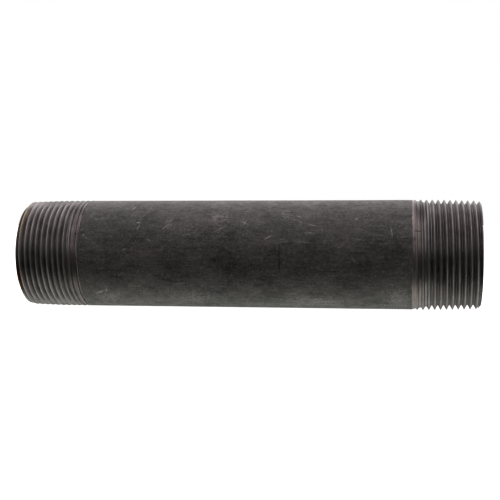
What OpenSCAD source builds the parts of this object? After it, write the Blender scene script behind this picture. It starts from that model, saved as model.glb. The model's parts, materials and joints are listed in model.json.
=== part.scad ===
// Threaded pipe nipple: a short length of black steel pipe with a tapered
// right-hand outside thread cut on each end. The pipe lies along X, with the
// origin at the middle of its bore, +X to the right and +Z up. Millimetres.
//
// A real nipple is one piece of welded pipe. The nodes are its worked zones,
// which meet face to face: the plain barrel, the two ends that the die has
// cut, and the weld metal that stands proud inside the pipe.

/* [Pipe] */
// Overall length, end face to end face
nipple_len = 177.8; // [130:0.1:320]
// Outside diameter of the plain pipe
pipe_od = 42.164; // [35:0.001:60]
// Thickness of the pipe wall
wall = 3.556; // [2.9:0.001:4.9]

/* [Thread] */
// Threads to the inch
threads_per_inch = 11.5; // [9:0.5:14]
// Growth of the thread's diameter for each millimetre along the pipe
taper = 0.0625; // [0.05:0.0005:0.075]
// Length of the cut beyond the full threads, in pitches
runout_pitches = 3.47; // [2.5:0.01:5]
// Depth of the step that the die leaves where its cut ends
shoulder_step = 0.15; // [0.05:0.01:0.3]
// Angle round the pipe at which the right thread's crest meets the end face
right_start = 246; // [0:1:359]
// Angle round the pipe at which the left thread's crest meets the end face
left_start = 221; // [0:1:359]

/* [End faces] */
// Length of the outside bevel, along the pipe
bevel_len = 0.6; // [0.4:0.05:1.5]
// How far the bevel cuts in below the thread's crest, across the radius
bevel_drop = 1.15; // [0.6:0.05:1.8]
// Size of the reamed chamfer at the mouth of the bore
ream = 0.5; // [0.2:0.05:0.7]

/* [Weld bead] */
// Width of the bead inside the pipe
bead_width = 2.6; // [1.5:0.1:4]
// Height of the bead above the bore
bead_height = 0.15; // [0.08:0.01:0.2]
// Angle of the bead round the pipe, from the bottom
bead_angle = 35; // [0:1:359]

/* [Detail] */
// Flat segments in one turn of the thread
turn_segments = 64; // [32:4:72]

/* [Hidden] */
$fn = 180;

inch = 25.4;
pipe_r = pipe_od / 2;
bore_r = pipe_r - wall;
half_len = nipple_len / 2;

// American taper pipe thread, worked out from the pipe's outside diameter.
// The form is a 60 degree V whose crests and roots are cut slightly flat.
pitch = inch / threads_per_inch;
thread_depth = 0.8 * pitch;
flat_width = 0.038 * pitch;
flank_slope = tan(30);
pitch_dia = pipe_od - (0.05 * pipe_od + 1.1 * inch) / threads_per_inch;
full_len = (0.8 * pipe_od + 6.8 * inch) / threads_per_inch;
cut_len = full_len + runout_pitches * pitch;
crest_r0 = (pitch_dia + thread_depth) / 2;
root_r0 = crest_r0 - thread_depth;

// Seam between a threaded end and the barrel
barrel_len = nipple_len - 2 * cut_len;

// The throat of the die lifts the root from full depth up to the shoulder.
root_full_r = root_r0 + full_len * taper / 2;
shoulder_r = pipe_r - shoulder_step;
throat_slope = (shoulder_r - root_full_r) / (cut_len - full_len);

// Bevel on the end face
face_r = crest_r0 - bevel_drop;
bevel_slope = bevel_drop / bevel_len;

// Whole turns of the screw behind the end face, past the end of the cut
inner_turns = ceil(cut_len / pitch) + 2;

// How far a cutting shape runs past the faces it cuts
past = 1;
// Least width of a flank, where a groove fades out
min_flank = 0.03;
// Step between the points of the bead's outline, as a share of its half width
bead_step = 0.125;

// Radius of the uncut thread's crest at a depth d behind the end face
function crest_line(d) = crest_r0 + d * taper / 2;

// Radius of the crest, which can't stand above the pipe it is cut from
function crest_r(d) = min(crest_line(d), pipe_r);

// Radius of the groove's floor, with the throat's cone taken in
function floor_r(d) =
    max(crest_line(d) - thread_depth,
        min(root_full_r + (d - full_len) * throat_slope, shoulder_r));

// Widths along the pipe of the crest and of the groove's floor
function crest_width(d) =
    flat_width + 2 * (crest_line(d) - crest_r(d)) * flank_slope;
function floor_width(d) =
    min(flat_width + 2 * (floor_r(d) - crest_line(d) + thread_depth) * flank_slope,
        pitch - crest_width(d) - 2 * min_flank);

// Point of the thread's outline at helix station i. Corner 0 and 1 are the
// ends of the crest, and 2 and 3 are the ends of the groove's floor.
function thread_point(i, corner, start) =
    let (turn = i / turn_segments - inner_turns,
         crest_z = turn * pitch,
         mid_z = corner < 2 ? crest_z : crest_z + pitch / 2,
         d = -mid_z,
         half = (corner < 2 ? crest_width(d) : floor_width(d)) / 2,
         z = mid_z + (corner % 2 == 0 ? -half : half),
         r = corner < 2 ? crest_r(-z) : floor_r(-z),
         angle = start + 360 * turn)
    [r * cos(angle), r * sin(angle), z];

// Solid screw along Z whose end face is at z = 0. It runs past both ends of
// the cut, where thread_envelope() trims it.
module screw_blank(start) {
    stations = turn_segments * (inner_turns + 1);
    last = stations + turn_segments;
    side = 4 * (stations + 1);
    foot = side + turn_segments;
    points = concat(
        [for (i = [0:stations], c = [0:3]) thread_point(i, c, start)],
        [for (i = [stations + 1:last]) thread_point(i, 0, start)],
        [[0, 0, thread_point(0, 0, start)[2] - pitch],
         [0, 0, thread_point(last, 0, start)[2] + pitch]]);
    // Index of the crest's first edge at any station
    function edge(i) = i <= stations ? 4 * i : side + i - stations - 1;
    strips = [for (i = [0:stations - 1], c = [0:3])
        let (a = 4 * i + c,
             b = 4 * (i + 1) + c,
             a2 = c < 3 ? a + 1 : edge(i + turn_segments),
             b2 = c < 3 ? b + 1 : edge(i + 1 + turn_segments))
        each [[a, a2, b2], [a, b2, b]]];
    foot_fan = concat(
        [for (i = [0:turn_segments - 1]) [foot, edge(i), edge(i + 1)]],
        [for (c = [0:3]) [foot, c < 3 ? c + 1 : edge(turn_segments), c]]);
    head_fan = concat(
        [for (i = [stations:last - 1]) [foot + 1, edge(i + 1), edge(i)]],
        [for (c = [0:3])
            [foot + 1, 4 * stations + c, c < 3 ? 4 * stations + c + 1 : edge(last)]]);
    polyhedron(points = points, faces = concat(strips, foot_fan, head_fan));
}

// Wall of a threaded end as turned: bevelled outside, reamed inside, bored
// through, and cut square where it meets the barrel.
module thread_envelope() {
    clear_r = pipe_r + past;
    rotate_extrude()
        polygon([
            [bore_r + ream, 0],
            [face_r, 0],
            [clear_r, -(clear_r - face_r) / bevel_slope],
            [clear_r, -cut_len],
            [bore_r, -cut_len],
            [bore_r, -ream]
        ]);
}

// Threaded end along Z, with its end face at z = 0
module threaded_end(start) {
    intersection() {
        screw_blank(start);
        thread_envelope();
    }
}

module barrel() {
    color([0.27, 0.26, 0.26])
        rotate([0, 90, 0])
            difference() {
                cylinder(h = barrel_len, r = pipe_r, center = true);
                cylinder(h = barrel_len + 2 * past, r = bore_r, center = true);
            }
}

module left_thread() {
    color([0.40, 0.37, 0.36])
        translate([-half_len, 0, 0])
            rotate([0, -90, 0])
                threaded_end(left_start);
}

module right_thread() {
    color([0.40, 0.37, 0.36])
        translate([half_len, 0, 0])
            rotate([0, 90, 0])
                threaded_end(right_start);
}

// Point of the bead's outline at a radius r, where t runs from -1 at one side
// of the bead to 1 at the other
function bead_point(r, t) =
    let (angle = t * asin(bead_width / 2 / bore_r))
    [r * cos(angle), r * sin(angle)];

// Low crowned bead of weld metal along the whole bore. Its back lies on the
// bore's wall.
module weld_bead() {
    back = [for (t = [-1:bead_step:1]) bead_point(bore_r, t)];
    crown = [for (t = [1 - bead_step:-bead_step:bead_step - 1])
        bead_point(bore_r - bead_height * cos(90 * t), t)];
    color([0.33, 0.31, 0.31])
        rotate([bead_angle, 0, 0])
            rotate([0, 90, 0])
                linear_extrude(height = nipple_len - 2 * ream, center = true)
                    polygon(concat(back, crown));
}

barrel();
left_thread();
right_thread();
weld_bead();
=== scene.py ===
"""Looks of a threaded pipe nipple: black steel pipe with a taper thread cut on each end.

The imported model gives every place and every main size. This script builds the
visible metal round it: the scaled barrel, the two die-cut ends, the lips that
the dies leave and the weld bead inside the bore. Lengths are in metres.
"""
import json
import logging
import math
from dataclasses import dataclass, field
from enum import Enum
from typing import Dict, List, Optional, Sequence, Tuple, Union

import bmesh
import bpy
import numpy as np
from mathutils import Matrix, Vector, noise


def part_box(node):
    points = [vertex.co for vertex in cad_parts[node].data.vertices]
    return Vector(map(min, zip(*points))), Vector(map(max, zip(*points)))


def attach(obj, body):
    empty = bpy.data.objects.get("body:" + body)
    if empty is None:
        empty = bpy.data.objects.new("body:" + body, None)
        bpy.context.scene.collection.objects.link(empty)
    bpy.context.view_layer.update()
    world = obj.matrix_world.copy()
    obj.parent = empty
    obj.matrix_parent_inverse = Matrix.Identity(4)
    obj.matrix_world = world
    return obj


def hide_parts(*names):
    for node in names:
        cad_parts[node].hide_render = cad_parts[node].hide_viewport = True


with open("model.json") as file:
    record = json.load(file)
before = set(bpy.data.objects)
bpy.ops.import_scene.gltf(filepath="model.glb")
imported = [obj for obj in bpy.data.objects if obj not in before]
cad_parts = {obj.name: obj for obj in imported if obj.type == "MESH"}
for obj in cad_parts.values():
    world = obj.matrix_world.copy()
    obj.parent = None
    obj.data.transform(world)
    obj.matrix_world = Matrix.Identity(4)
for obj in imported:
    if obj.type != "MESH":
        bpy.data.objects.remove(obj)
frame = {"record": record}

LOG = logging.getLogger("pipe_nipple")
MM = 0.001
INCH = 0.0254
BODY = "root"
NEAR = 0.001 * MM  # points no further off than this count as being in place
SKIN = 0.012 * MM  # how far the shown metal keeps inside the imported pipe
LEANING = math.radians(48)  # how most handling scratches lean from the pipe's length

Colour = Tuple[float, float, float]
Socket = bpy.types.NodeSocket
Feed = Union[Socket, float, Sequence[float]]
Faces = List[Tuple[int, ...]]


class End(Enum):
    """Which end of the pipe, as the sign of its side along X."""

    LEFT = -1
    RIGHT = 1


class Zone(Enum):
    """Worked zones of a threaded end, as places in its list of finishes."""

    THREAD = 0
    FACE = 1
    BORE = 2


@dataclass(frozen=True)
class Mark:
    """One scratch or stain on the outside of the pipe.

    Its place is given in millimetres from the middle of the pipe and in degrees
    up from the front. Its lean is in degrees from the pipe's length. The radius
    is the plain pipe's own, in millimetres.
    """

    x: float
    turn: float
    length: float
    width: float
    lean: float
    strength: float
    radius: float = 21.08

    @property
    def rise(self) -> float:
        """Gives the distance round the pipe from the front, in millimetres."""
        return math.radians(self.turn) * self.radius


@dataclass(frozen=True)
class Scratching:
    """Many short straight scratches, at most one in each cell of a grid.

    Lengths are in millimetres. The lean from the pipe's length, and how far the
    lean wanders either way, are in radians. The share is that of the cells which
    hold a scratch. The seed moves the grid, so that layers differ.
    """

    cell: float
    longest: float
    width: float
    lean: float
    wander: float
    share: float
    seed: float


# ---------------------------------------------------------------- shader nodes


class NodeSheet:
    """Nodes of one procedural finish or light, and the tools that lay them out."""

    def __init__(self, tree: bpy.types.NodeTree) -> None:
        """Starts with an empty sheet.

        Args:
            tree: the nodes of a material or a world.
        """
        self.tree = tree
        self.tree.nodes.clear()

    def add(self, kind: str) -> bpy.types.Node:
        """Adds a node of a kind."""
        return self.tree.nodes.new(kind)

    def feed(self, socket: Socket, value: Feed) -> None:
        """Links a socket to another one, or sets its own value.

        Args:
            socket: the input to fill.
            value: an output to link from, or a constant.
        """
        if isinstance(value, bpy.types.NodeSocket):
            self.tree.links.new(value, socket)
        elif isinstance(value, (tuple, list)) and len(socket.default_value) == 4:
            socket.default_value = (*value[:3], 1.0)
        else:
            socket.default_value = value

    def math(self, operation: str, a: Feed, b: Feed = 0.0, clamp: bool = False) -> Socket:
        """Adds a Math node.

        Args:
            operation: the node's operation.
            a: first value.
            b: second value.
            clamp: keep the result between 0 and 1.

        Returns:
            The result's socket.
        """
        node = self.add("ShaderNodeMath")
        node.operation = operation
        node.use_clamp = clamp
        self.feed(node.inputs[0], a)
        self.feed(node.inputs[1], b)
        return node.outputs[0]

    def vector(self, operation: str, a: Feed, b: Feed) -> Socket:
        """Adds a Vector Math node.

        Args:
            operation: the node's operation.
            a: first vector.
            b: second vector.

        Returns:
            The result's socket.
        """
        node = self.add("ShaderNodeVectorMath")
        node.operation = operation
        self.feed(node.inputs[0], a)
        self.feed(node.inputs[1], b)
        return node.outputs[0]

    def split(self, vector: Socket) -> Tuple[Socket, Socket, Socket]:
        """Splits a vector into its three parts.

        Args:
            vector: the vector's socket.

        Returns:
            The X, Y and Z sockets.
        """
        node = self.add("ShaderNodeSeparateXYZ")
        self.tree.links.new(vector, node.inputs[0])
        return node.outputs[0], node.outputs[1], node.outputs[2]

    def join(self, x: Feed, y: Feed, z: Feed = 0.0) -> Socket:
        """Joins three values into a vector.

        Args:
            x: the vector's X.
            y: the vector's Y.
            z: the vector's Z.

        Returns:
            The vector's socket.
        """
        node = self.add("ShaderNodeCombineXYZ")
        for socket, value in zip(node.inputs, (x, y, z)):
            self.feed(socket, value)
        return node.outputs[0]

    def turn(self, y: Socket, z: Socket) -> Socket:
        """Gives the angle round the pipe, up from the front, in radians."""
        return self.math("ARCTAN2", z, self.math("MULTIPLY", y, -1.0))

    def band(self, value: Socket, low: float, high: float,
             bottom: float = 0.0, top: float = 1.0) -> Socket:
        """Turns the range low to high into a smooth step.

        Args:
            value: the value to read.
            low: value at which the step starts.
            high: value at which the step ends.
            bottom: result below the step.
            top: result above the step.

        Returns:
            The result's socket.
        """
        node = self.add("ShaderNodeMapRange")
        node.interpolation_type = "SMOOTHSTEP"
        self.feed(node.inputs["Value"], value)
        for name, number in (("From Min", low), ("From Max", high),
                             ("To Min", bottom), ("To Max", top)):
            node.inputs[name].default_value = number
        return node.outputs[0]

    def blend(self, share: Feed, a: Feed, b: Feed, mode: str = "MIX") -> Socket:
        """Mixes two colours.

        Args:
            share: how much of the second colour shows.
            a: first colour.
            b: second colour.
            mode: the mix node's blend type.

        Returns:
            The mixed colour's socket.
        """
        node = self.add("ShaderNodeMix")
        node.data_type = "RGBA"
        node.blend_type = mode
        self.feed(node.inputs[0], share)
        self.feed(node.inputs[6], a)
        self.feed(node.inputs[7], b)
        return node.outputs[2]

    def dim(self, colour: Feed, value: Socket) -> Socket:
        """Multiplies a colour by a value."""
        return self.blend(1.0, colour, self.join(value, value, value), "MULTIPLY")


class ShaderSheet(NodeSheet):
    """One procedural metal finish, laid out as nodes round a single shader."""

    def __init__(self, name: str) -> None:
        """Starts an empty finish.

        Args:
            name: name of the material.
        """
        self.material = bpy.data.materials.new(name)
        self.material.use_nodes = True
        super().__init__(self.material.node_tree)
        self.shader = self.add("ShaderNodeBsdfPrincipled")
        output = self.add("ShaderNodeOutputMaterial")
        self.feed(output.inputs["Surface"], self.shader.outputs["BSDF"])

    def shade(self, **inputs: Feed) -> None:
        """Feeds the shader's own inputs.

        Args:
            inputs: input names, with spaces written as underscores.
        """
        for name, value in inputs.items():
            self.feed(self.shader.inputs[name.replace("_", " ")], value)

    def place(self) -> Socket:
        """Gives the point on the object, in millimetres.

        Returns:
            The vector's socket.
        """
        coordinates = self.add("ShaderNodeTexCoord")
        scale = self.add("ShaderNodeVectorMath")
        scale.operation = "SCALE"
        scale.inputs["Scale"].default_value = 1.0 / MM
        self.tree.links.new(coordinates.outputs["Object"], scale.inputs[0])
        return scale.outputs[0]

    def unrolled(self, radius_mm: float) -> Socket:
        """Gives the point on the pipe's wall unrolled flat, in millimetres.

        Args:
            radius_mm: radius at which one turn has its true length.

        Returns:
            A vector of the distance along the pipe and the distance round it.
        """
        x, y, z = self.split(self.place())
        return self.join(x, self.math("MULTIPLY", self.turn(y, z), radius_mm))

    def grain(self, vector: Socket, stretch: Sequence[float], detail: float = 3.0,
              rough: float = 0.55, warp: float = 0.0) -> Socket:
        """Adds fractal noise, from 0 to 1 about a middle of 0.5.

        Args:
            vector: where to read the noise, in millimetres.
            stretch: features per millimetre along each axis.
            detail: octaves of finer noise.
            rough: how strong the finer octaves are.
            warp: how far the noise bends itself.

        Returns:
            The value's socket.
        """
        node = self.add("ShaderNodeTexNoise")
        node.inputs["Scale"].default_value = 1.0
        node.inputs["Detail"].default_value = detail
        node.inputs["Roughness"].default_value = rough
        node.inputs["Distortion"].default_value = warp
        self.feed(node.inputs["Vector"], self.vector("MULTIPLY", vector, tuple(stretch)))
        return node.outputs[0]

    def mark(self, name: str) -> Socket:
        """Reads a value that the mesh stores at its points.

        Args:
            name: the attribute's name.

        Returns:
            The value's socket.
        """
        node = self.add("ShaderNodeAttribute")
        node.attribute_name = name
        return node.outputs["Fac"]

    def relief(self, height: Socket, depth_mm: float, under: Optional[Socket] = None) -> Socket:
        """Adds bump of a given depth.

        Args:
            height: surface height from 0 to 1.
            depth_mm: depth in millimetres that a height of 1 stands for.
            under: the relief that this one lies on.

        Returns:
            The bent normal's socket.
        """
        node = self.add("ShaderNodeBump")
        node.inputs["Strength"].default_value = 1.0
        node.inputs["Distance"].default_value = depth_mm * MM
        self.feed(node.inputs["Height"], height)
        if under is not None:
            self.feed(node.inputs["Normal"], under)
        return node.outputs[0]

    def spot(self, flat: Socket, mark: Mark, edge: float) -> Socket:
        """Marks one long rounded spot on the unrolled wall.

        Args:
            flat: the unrolled wall, in millimetres.
            mark: the spot's place and size.
            edge: where its edge starts to fade, as a share of its size.

        Returns:
            A socket that is the mark's strength inside and 0 outside.
        """
        node = self.add("ShaderNodeMapping")
        node.vector_type = "TEXTURE"
        self.feed(node.inputs["Vector"], flat)
        node.inputs["Location"].default_value = (mark.x, mark.rise, 0.0)
        node.inputs["Rotation"].default_value = (0.0, 0.0, math.radians(mark.lean))
        node.inputs["Scale"].default_value = (mark.length / 2, mark.width / 2, 1.0)
        reach = self.add("ShaderNodeVectorMath")
        reach.operation = "LENGTH"
        self.feed(reach.inputs[0], node.outputs[0])
        return self.band(reach.outputs["Value"], edge, 1.0, mark.strength, 0.0)

    def spots(self, flat: Socket, marks: Sequence[Mark], edge: float) -> Socket:
        """Marks several spots on the unrolled wall.

        Args:
            flat: the unrolled wall, in millimetres.
            marks: places and sizes of the spots.
            edge: where their edges start to fade, as a share of their size.

        Returns:
            A socket with the strength of the strongest spot at each point.
        """
        total = self.spot(flat, marks[0], edge)
        for mark in marks[1:]:
            total = self.math("MAXIMUM", total, self.spot(flat, mark, edge))
        return total

    def strokes(self, flat: Socket, layer: Scratching) -> Socket:
        """Scatters one layer of short scratches over the unrolled wall.

        Args:
            flat: the unrolled wall, in millimetres.
            layer: sizes and spread of the scratches.

        Returns:
            A socket that is 1 on a scratch and 0 off it.
        """
        x, y, roll, turn = self.dealt(flat, layer)
        wander = self.math("SUBTRACT", turn, 0.5)
        angle = self.math("ADD", self.math("MULTIPLY", wander, 2.0 * layer.wander), layer.lean)
        cosine = self.math("COSINE", angle)
        sine = self.math("SINE", angle)
        along = self.math("ADD", self.math("MULTIPLY", x, cosine),
                          self.math("MULTIPLY", y, sine))
        across = self.math("SUBTRACT", self.math("MULTIPLY", y, cosine),
                           self.math("MULTIPLY", x, sine))
        reach = self.math("MULTIPLY", roll, layer.longest / 2 / layer.share)
        past = self.math("SUBTRACT", self.math("ABSOLUTE", along), reach)
        point = 0.15 * layer.longest
        lengthwise = self.band(past, -point, 0.0, 1.0, 0.0)
        sideways = self.band(self.math("ABSOLUTE", across),
                             0.3 * layer.width, 0.8 * layer.width, 1.0, 0.0)
        present = self.math("LESS_THAN", roll, layer.share)
        return self.math("MULTIPLY", self.math("MULTIPLY", lengthwise, sideways), present)

    def dealt(self, flat: Socket, layer: Scratching) -> Tuple[Socket, Socket, Socket, Socket]:
        """Deals each cell of a grid its scratch's middle and two random numbers.

        Args:
            flat: the unrolled wall, in millimetres.
            layer: sizes and spread of the scratches.

        Returns:
            The place from the scratch's middle, in millimetres, as X and Y, and
            two numbers from 0 to 1.
        """
        cell, seed = layer.cell, layer.seed
        room = 0.4  # share of a cell over which the scratch's middle may lie
        margin = (1.0 - room) / 2
        moved = self.vector("ADD", flat, (seed * 7.31, seed * 3.77, 0.0))
        grid = self.vector("DIVIDE", moved, (cell, cell, 1.0))
        corner = self.vector("FLOOR", grid, (0.0, 0.0, 0.0))
        dice = self.add("ShaderNodeTexWhiteNoise")
        self.feed(dice.inputs["Vector"], self.vector("ADD", corner, (seed, 0.0, seed)))
        middle = self.vector("MULTIPLY", dice.outputs["Color"], (room, room, 0.0))
        local = self.vector("SUBTRACT", self.vector("SUBTRACT", grid, corner), middle)
        local = self.vector("SUBTRACT", local, (margin, margin, 0.0))
        x, y, _ = self.split(self.vector("MULTIPLY", local, (cell, cell, 0.0)))
        return x, y, dice.outputs["Value"], self.split(dice.outputs["Color"])[2]


# -------------------------------------------------------------------- finishes


@dataclass(frozen=True)
class MillScale:
    """Dark mottled mill scale under a thin lacquer, as on black pipe."""

    name: str = "mill_scale"
    radius_mm: float = 21.08
    dark: Colour = (0.0075, 0.0070, 0.0068)
    light: Colour = (0.1075, 0.0985, 0.0925)
    dust: Colour = (0.21, 0.199, 0.186)
    bare: Colour = (0.40, 0.38, 0.36)
    tone: float = 0.38
    swings: Tuple[float, ...] = (1.0, 1.30, 1.35, 0.9)
    scratches: Tuple[Mark, ...] = (
        Mark(-43.6, 58, 4.2, 0.6, 62, 0.9),
        Mark(-40.2, 30, 3.4, 0.5, 73, 0.8),
        Mark(-40.4, 36, 2.0, 0.8, 6, 0.8),
        Mark(-29.5, 31, 4.4, 0.45, 43, 0.8),
        Mark(-27.9, 37, 2.8, 0.4, 72, 0.5),
        Mark(-45.0, 6, 2.0, 0.7, 20, 0.8),
        Mark(-56.3, -44, 6.0, 0.8, 26, 1.0),
        Mark(-53.5, -41, 2.4, 0.7, 75, 1.0),
        Mark(-41.7, -35, 7.0, 0.5, 5, 0.45),
        Mark(-24.3, -31, 5.5, 0.5, 9, 0.5),
        Mark(-35.5, 16, 1.8, 0.5, -27, 0.7),
        Mark(-11.3, 44, 3.8, 0.5, 26, 0.6),
        Mark(-8.7, 28, 5.2, 0.5, 30, 0.6),
        Mark(0.7, 36, 4.2, 0.45, -33, 0.8),
        Mark(0.9, 36, 2.8, 0.45, 70, 0.8),
        Mark(10.0, 19, 4.2, 0.55, 31, 0.9),
        Mark(21.2, 44, 4.0, 0.5, -24, 0.7),
        Mark(21.6, 37, 2.8, 0.45, -38, 0.7),
        Mark(26.2, 33, 4.0, 0.45, -12, 0.7),
        Mark(24.7, 24, 7.5, 0.4, 4, 0.6),
        Mark(15.0, 14, 7.5, 0.35, 9, 0.5),
        Mark(23.4, 14, 8.5, 0.35, -4, 0.5),
        Mark(42.9, 41, 3.4, 0.55, 38, 0.85),
        Mark(55.7, 25, 5.2, 0.45, -80, 0.75),
        Mark(55.8, -30, 2.4, 0.5, -17, 0.7),
        Mark(-61.4, 21, 1.3, 0.6, 30, 0.8),
        Mark(-60.2, 18, 1.2, 0.5, -20, 0.7),
        Mark(-62.4, 28, 1.8, 0.4, 5, 0.5),
    )
    dimple_spacing: float = 1.1
    rolled: Tuple[Mark, ...] = (
        Mark(20.0, -64, 44.0, 1.5, 0, 0.55),
        Mark(33.0, -56, 26.0, 1.2, 0, 0.30),
        Mark(57.0, -64, 14.0, 1.6, 0, 0.70),
        Mark(58.0, -55, 9.0, 1.3, 0, 0.45),
    )
    frosted: Tuple[Mark, ...] = (
        Mark(58.0, -50, 14.0, 18.0, 0, 1.5),
        Mark(26.0, -57, 36.0, 15.0, 0, 1.3),
        Mark(-9.0, 42, 14.0, 10.0, 0, 1.0),
        Mark(17.0, 46, 12.0, 9.0, 0, 0.8),
        Mark(-54.0, -52, 18.0, 13.0, 0, 1.3),
        Mark(-20.0, -54, 32.0, 14.0, 0, 1.2),
        Mark(-22.0, 28, 26.0, 8.0, 0, 0.5),
        Mark(60.0, 32, 10.0, 10.0, 0, 0.5),
        Mark(0.0, 150, 60.0, 14.0, 0, 0.7),
        Mark(20.0, 240, 40.0, 12.0, 0, 0.7),
    )
    rubbed: Tuple[Mark, ...] = (
        Mark(-10.0, 38, 14.0, 11.0, 20, 1.2),
        Mark(16.0, 50, 8.0, 9.0, 0, 0.9),
        Mark(-34.0, -5, 32.0, 13.0, 0, 0.3),
        Mark(-26.0, -47, 15.0, 13.0, 0, 1.0),
        Mark(59.0, -47, 12.0, 17.0, 0, 1.4),
        Mark(20.5, -48, 13.0, 15.0, 0, 1.1),
        Mark(40.0, 75, 50.0, 8.0, 0, 0.4),
        Mark(-50.0, -62, 26.0, 9.0, 0, 0.6),
        Mark(20.0, 140, 34.0, 16.0, 0, 0.7),
        Mark(-35.0, 205, 28.0, 14.0, 0, 0.7),
    )
    stains: Tuple[Mark, ...] = (
        Mark(-28.0, -13, 5.0, 5.0, 0, 0.4),
        Mark(-2.0, 14, 15.0, 7.0, -15, 0.6),
        Mark(-6.0, -45, 28.0, 12.0, 0, 0.6),
        Mark(14.5, -2, 3.0, 14.0, 0, 0.9),
        Mark(14.3, -3, 1.1, 17.0, 0, 2.9),
        Mark(16.5, 13, 5.0, 1.6, 0, 1.2),
        Mark(58.5, 5, 7.0, 10.0, 0, 0.7),
        Mark(58.5, 10, 5.0, 2.6, 0, 2.3),
        Mark(56.0, 0, 1.4, 10.0, 0, 1.1),
        Mark(-62.2, 24, 1.8, 1.6, 0, 2.4),
        Mark(10.0, -38, 14.0, 17.0, 0, 0.7),
        Mark(43.0, -34, 20.0, 12.0, 0, 0.5),
        Mark(-45.0, 42, 12.0, 5.0, 10, 0.5),
        Mark(-60.0, 24, 8.0, 5.0, 20, 0.7),
        Mark(-10.0, 170, 40.0, 18.0, 0, 0.6),
        Mark(45.0, 215, 24.0, 15.0, 0, 0.6),
    )
    scratching: Tuple[Scratching, ...] = (
        Scratching(11.0, 4.4, 0.30, lean=LEANING, wander=0.7, share=0.30, seed=3.0),
        Scratching(6.0, 2.2, 0.24, lean=LEANING, wander=1.2, share=0.35, seed=11.0),
        Scratching(9.0, 4.0, 0.20, lean=0.0, wander=0.25, share=0.40, seed=23.0),
    )
    dusted_share: float = 0.65
    frosting: float = 0.15
    rubbing: float = 0.17
    staining: float = 0.16
    lesser_share: float = 0.34
    bared_share: float = 0.76

    def make(self) -> bpy.types.Material:
        """Builds the finish.

        Returns:
            The material.
        """
        sheet = ShaderSheet(self.name)
        place = sheet.place()
        flat = sheet.unrolled(self.radius_mm)
        clouds = sheet.grain(place, (0.07, 0.10, 0.10), detail=2.0, warp=0.5)
        mottle = sheet.grain(place, (0.30, 0.38, 0.38), detail=5.0, rough=0.78)
        speckle = sheet.grain(place, (1.15, 1.5, 1.5), detail=3.0, rough=0.8)
        drawn = sheet.grain(place, (0.09, 1.5, 1.5), detail=3.0, rough=0.7)
        body = self.body(sheet, flat, (clouds, mottle, speckle, drawn))
        colour = sheet.blend(self.dusting(sheet, flat, speckle), body, self.dust)
        colour = sheet.blend(self.scraped(sheet, flat, speckle), colour, self.bare)
        normal = sheet.relief(mottle, depth_mm=0.24)
        normal = sheet.relief(speckle, 0.10, normal)
        normal = sheet.relief(drawn, 0.03, normal)
        sheet.shade(Base_Color=colour, Roughness=sheet.band(mottle, 0.3, 0.7, 0.62, 0.44),
                    Normal=normal, IOR=1.45)
        return sheet.material

    def body(self, sheet: ShaderSheet, flat: Socket, noises: Sequence[Socket]) -> Socket:
        """Mixes the scale's dark and light tones.

        Args:
            sheet: the finish being built.
            flat: the unrolled wall, in millimetres.
            noises: clouds, mottling, speckles and drawing lines.

        Returns:
            The colour's socket.
        """
        tone: Feed = self.tone
        for value, weight in zip(noises, self.swings):
            swing = sheet.math("MULTIPLY", sheet.math("SUBTRACT", value, 0.5), weight)
            tone = sheet.math("ADD", tone, swing)
        clouded = sheet.math("MULTIPLY", noises[1], 2.0)
        rubbed = sheet.math("MULTIPLY", sheet.spots(flat, self.rubbed, 0.2), clouded)
        stained = sheet.math("MULTIPLY", sheet.spots(flat, self.stains, 0.2), clouded)
        tone = sheet.math("ADD", tone, sheet.math("MULTIPLY", rubbed, self.rubbing))
        stained = sheet.math("MULTIPLY", stained, self.staining)
        tone = sheet.math("SUBTRACT", tone, stained, clamp=True)
        return sheet.blend(tone, self.dark, self.light)

    def dusting(self, sheet: ShaderSheet, flat: Socket, speckle: Socket) -> Socket:
        """Dusts the scale with pale specks, more of them where it is frosted.

        Args:
            sheet: the finish being built.
            flat: the unrolled wall, in millimetres.
            speckle: fine noise that says where the specks lie.

        Returns:
            A socket that says how much of the dust's colour shows.
        """
        frost = sheet.math("MULTIPLY", sheet.spots(flat, self.frosted, 0.1), self.frosting)
        specks = sheet.band(sheet.math("ADD", speckle, frost), 0.58, 0.74)
        return sheet.math("MULTIPLY", specks, self.dusted_share)

    def scraped(self, sheet: ShaderSheet, flat: Socket, speckle: Socket) -> Socket:
        """Lays the known scratches and many lesser ones over the pipe.

        Args:
            sheet: the finish being built.
            flat: the unrolled wall, in millimetres.
            speckle: fine noise that breaks the scratches up.

        Returns:
            A socket that says how bare the metal is.
        """
        known = sheet.spots(flat, self.scratches, 0.5)
        known = sheet.math("MAXIMUM", known, self.dimples(sheet, flat))
        lesser = sheet.strokes(flat, self.scratching[0])
        for layer in self.scratching[1:]:
            lesser = sheet.math("MAXIMUM", lesser, sheet.strokes(flat, layer))
        lesser = sheet.math("MULTIPLY", lesser, self.lesser_share)
        total = sheet.math("MAXIMUM", lesser, known)
        worn = sheet.band(speckle, 0.34, 0.6, 0.25, 1.0)
        return sheet.math("MULTIPLY", total, sheet.math("MULTIPLY", worn, self.bared_share))

    def dimples(self, sheet: ShaderSheet, flat: Socket) -> Socket:
        """Sets rows of small bright dimples, as a feed roller leaves them.

        Args:
            sheet: the finish being built.
            flat: the unrolled wall, in millimetres.

        Returns:
            A socket that says how bare the metal is.
        """
        x, _, _ = sheet.split(flat)
        turned = sheet.math("MULTIPLY", x, 2 * math.pi / self.dimple_spacing)
        dots = sheet.band(sheet.math("SINE", turned), 0.1, 0.8)
        return sheet.math("MULTIPLY", dots, sheet.spots(flat, self.rolled, 0.6))


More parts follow.
